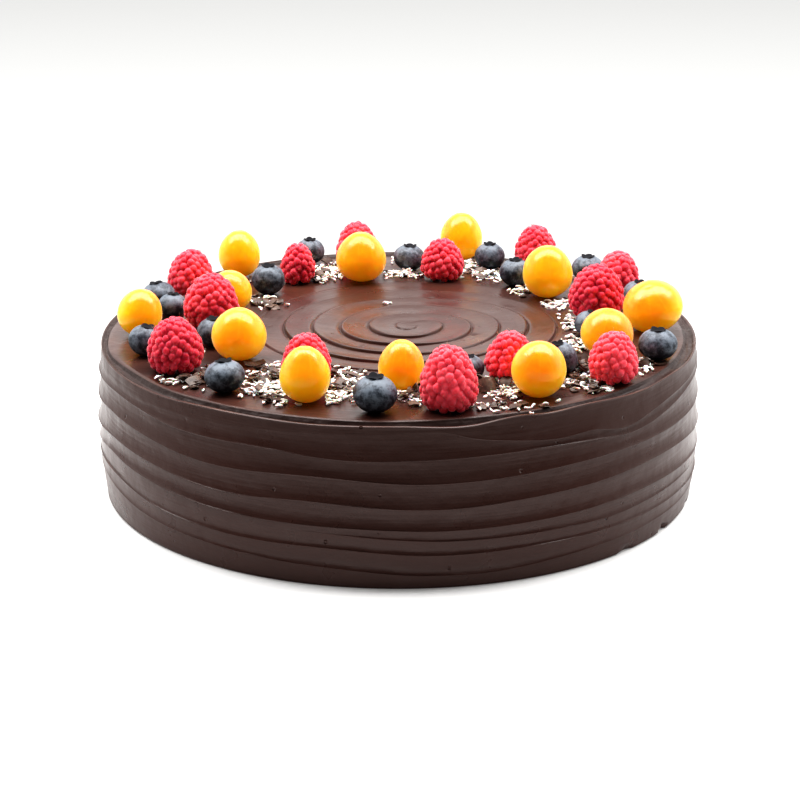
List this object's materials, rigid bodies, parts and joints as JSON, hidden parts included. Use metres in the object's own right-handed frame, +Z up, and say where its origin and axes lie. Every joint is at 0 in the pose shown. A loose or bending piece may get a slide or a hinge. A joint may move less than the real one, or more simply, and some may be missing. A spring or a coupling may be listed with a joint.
{
  "type": "chocolate cake",
  "caption": "Round uncut chocolate cake with ganache laid on in spatula strokes, a swirl on top and a ring of mixed berries",
  "frame": {"origin": "centre of the flat base, on the surface that the cake stands on", "axes": "+Z up, -Y towards the side that the picture shows, +X to that view's right"},
  "size_m": [0.2162, 0.2162, 0.0789],
  "materials": {
    "ganache": "satin dark chocolate ganache",
    "physalis": "waxy orange-yellow skin",
    "raspberry": "soft red flesh",
    "blueberry": "dark blue skin with a pale bloom"
  },
  "bodies": {
    "root": {"cake": "ganache", "physalis_01": "physalis", "physalis_02": "physalis", "physalis_03": "physalis", "physalis_04": "physalis", "physalis_05": "physalis", "physalis_06": "physalis", "physalis_07": "physalis", "physalis_08": "physalis", "physalis_09": "physalis", "physalis_10": "physalis", "physalis_11": "physalis", "physalis_12": "physalis", "raspberry_01": "raspberry", "raspberry_02": "raspberry", "raspberry_03": "raspberry", "raspberry_04": "raspberry", "raspberry_05": "raspberry", "raspberry_06": "raspberry", "raspberry_07": "raspberry", "raspberry_08": "raspberry", "raspberry_09": "raspberry", "raspberry_10": "raspberry", "raspberry_11": "raspberry", "raspberry_12": "raspberry", "raspberry_13": "raspberry", "blueberry_01": "blueberry", "blueberry_02": "blueberry", "blueberry_03": "blueberry", "blueberry_04": "blueberry", "blueberry_05": "blueberry", "blueberry_06": "blueberry", "blueberry_07": "blueberry", "blueberry_08": "blueberry", "blueberry_09": "blueberry", "blueberry_10": "blueberry", "blueberry_11": "blueberry", "blueberry_12": "blueberry", "blueberry_13": "blueberry", "blueberry_14": "blueberry", "blueberry_15": "blueberry", "blueberry_16": "blueberry", "blueberry_17": "blueberry"}
  },
  "joints": []
}
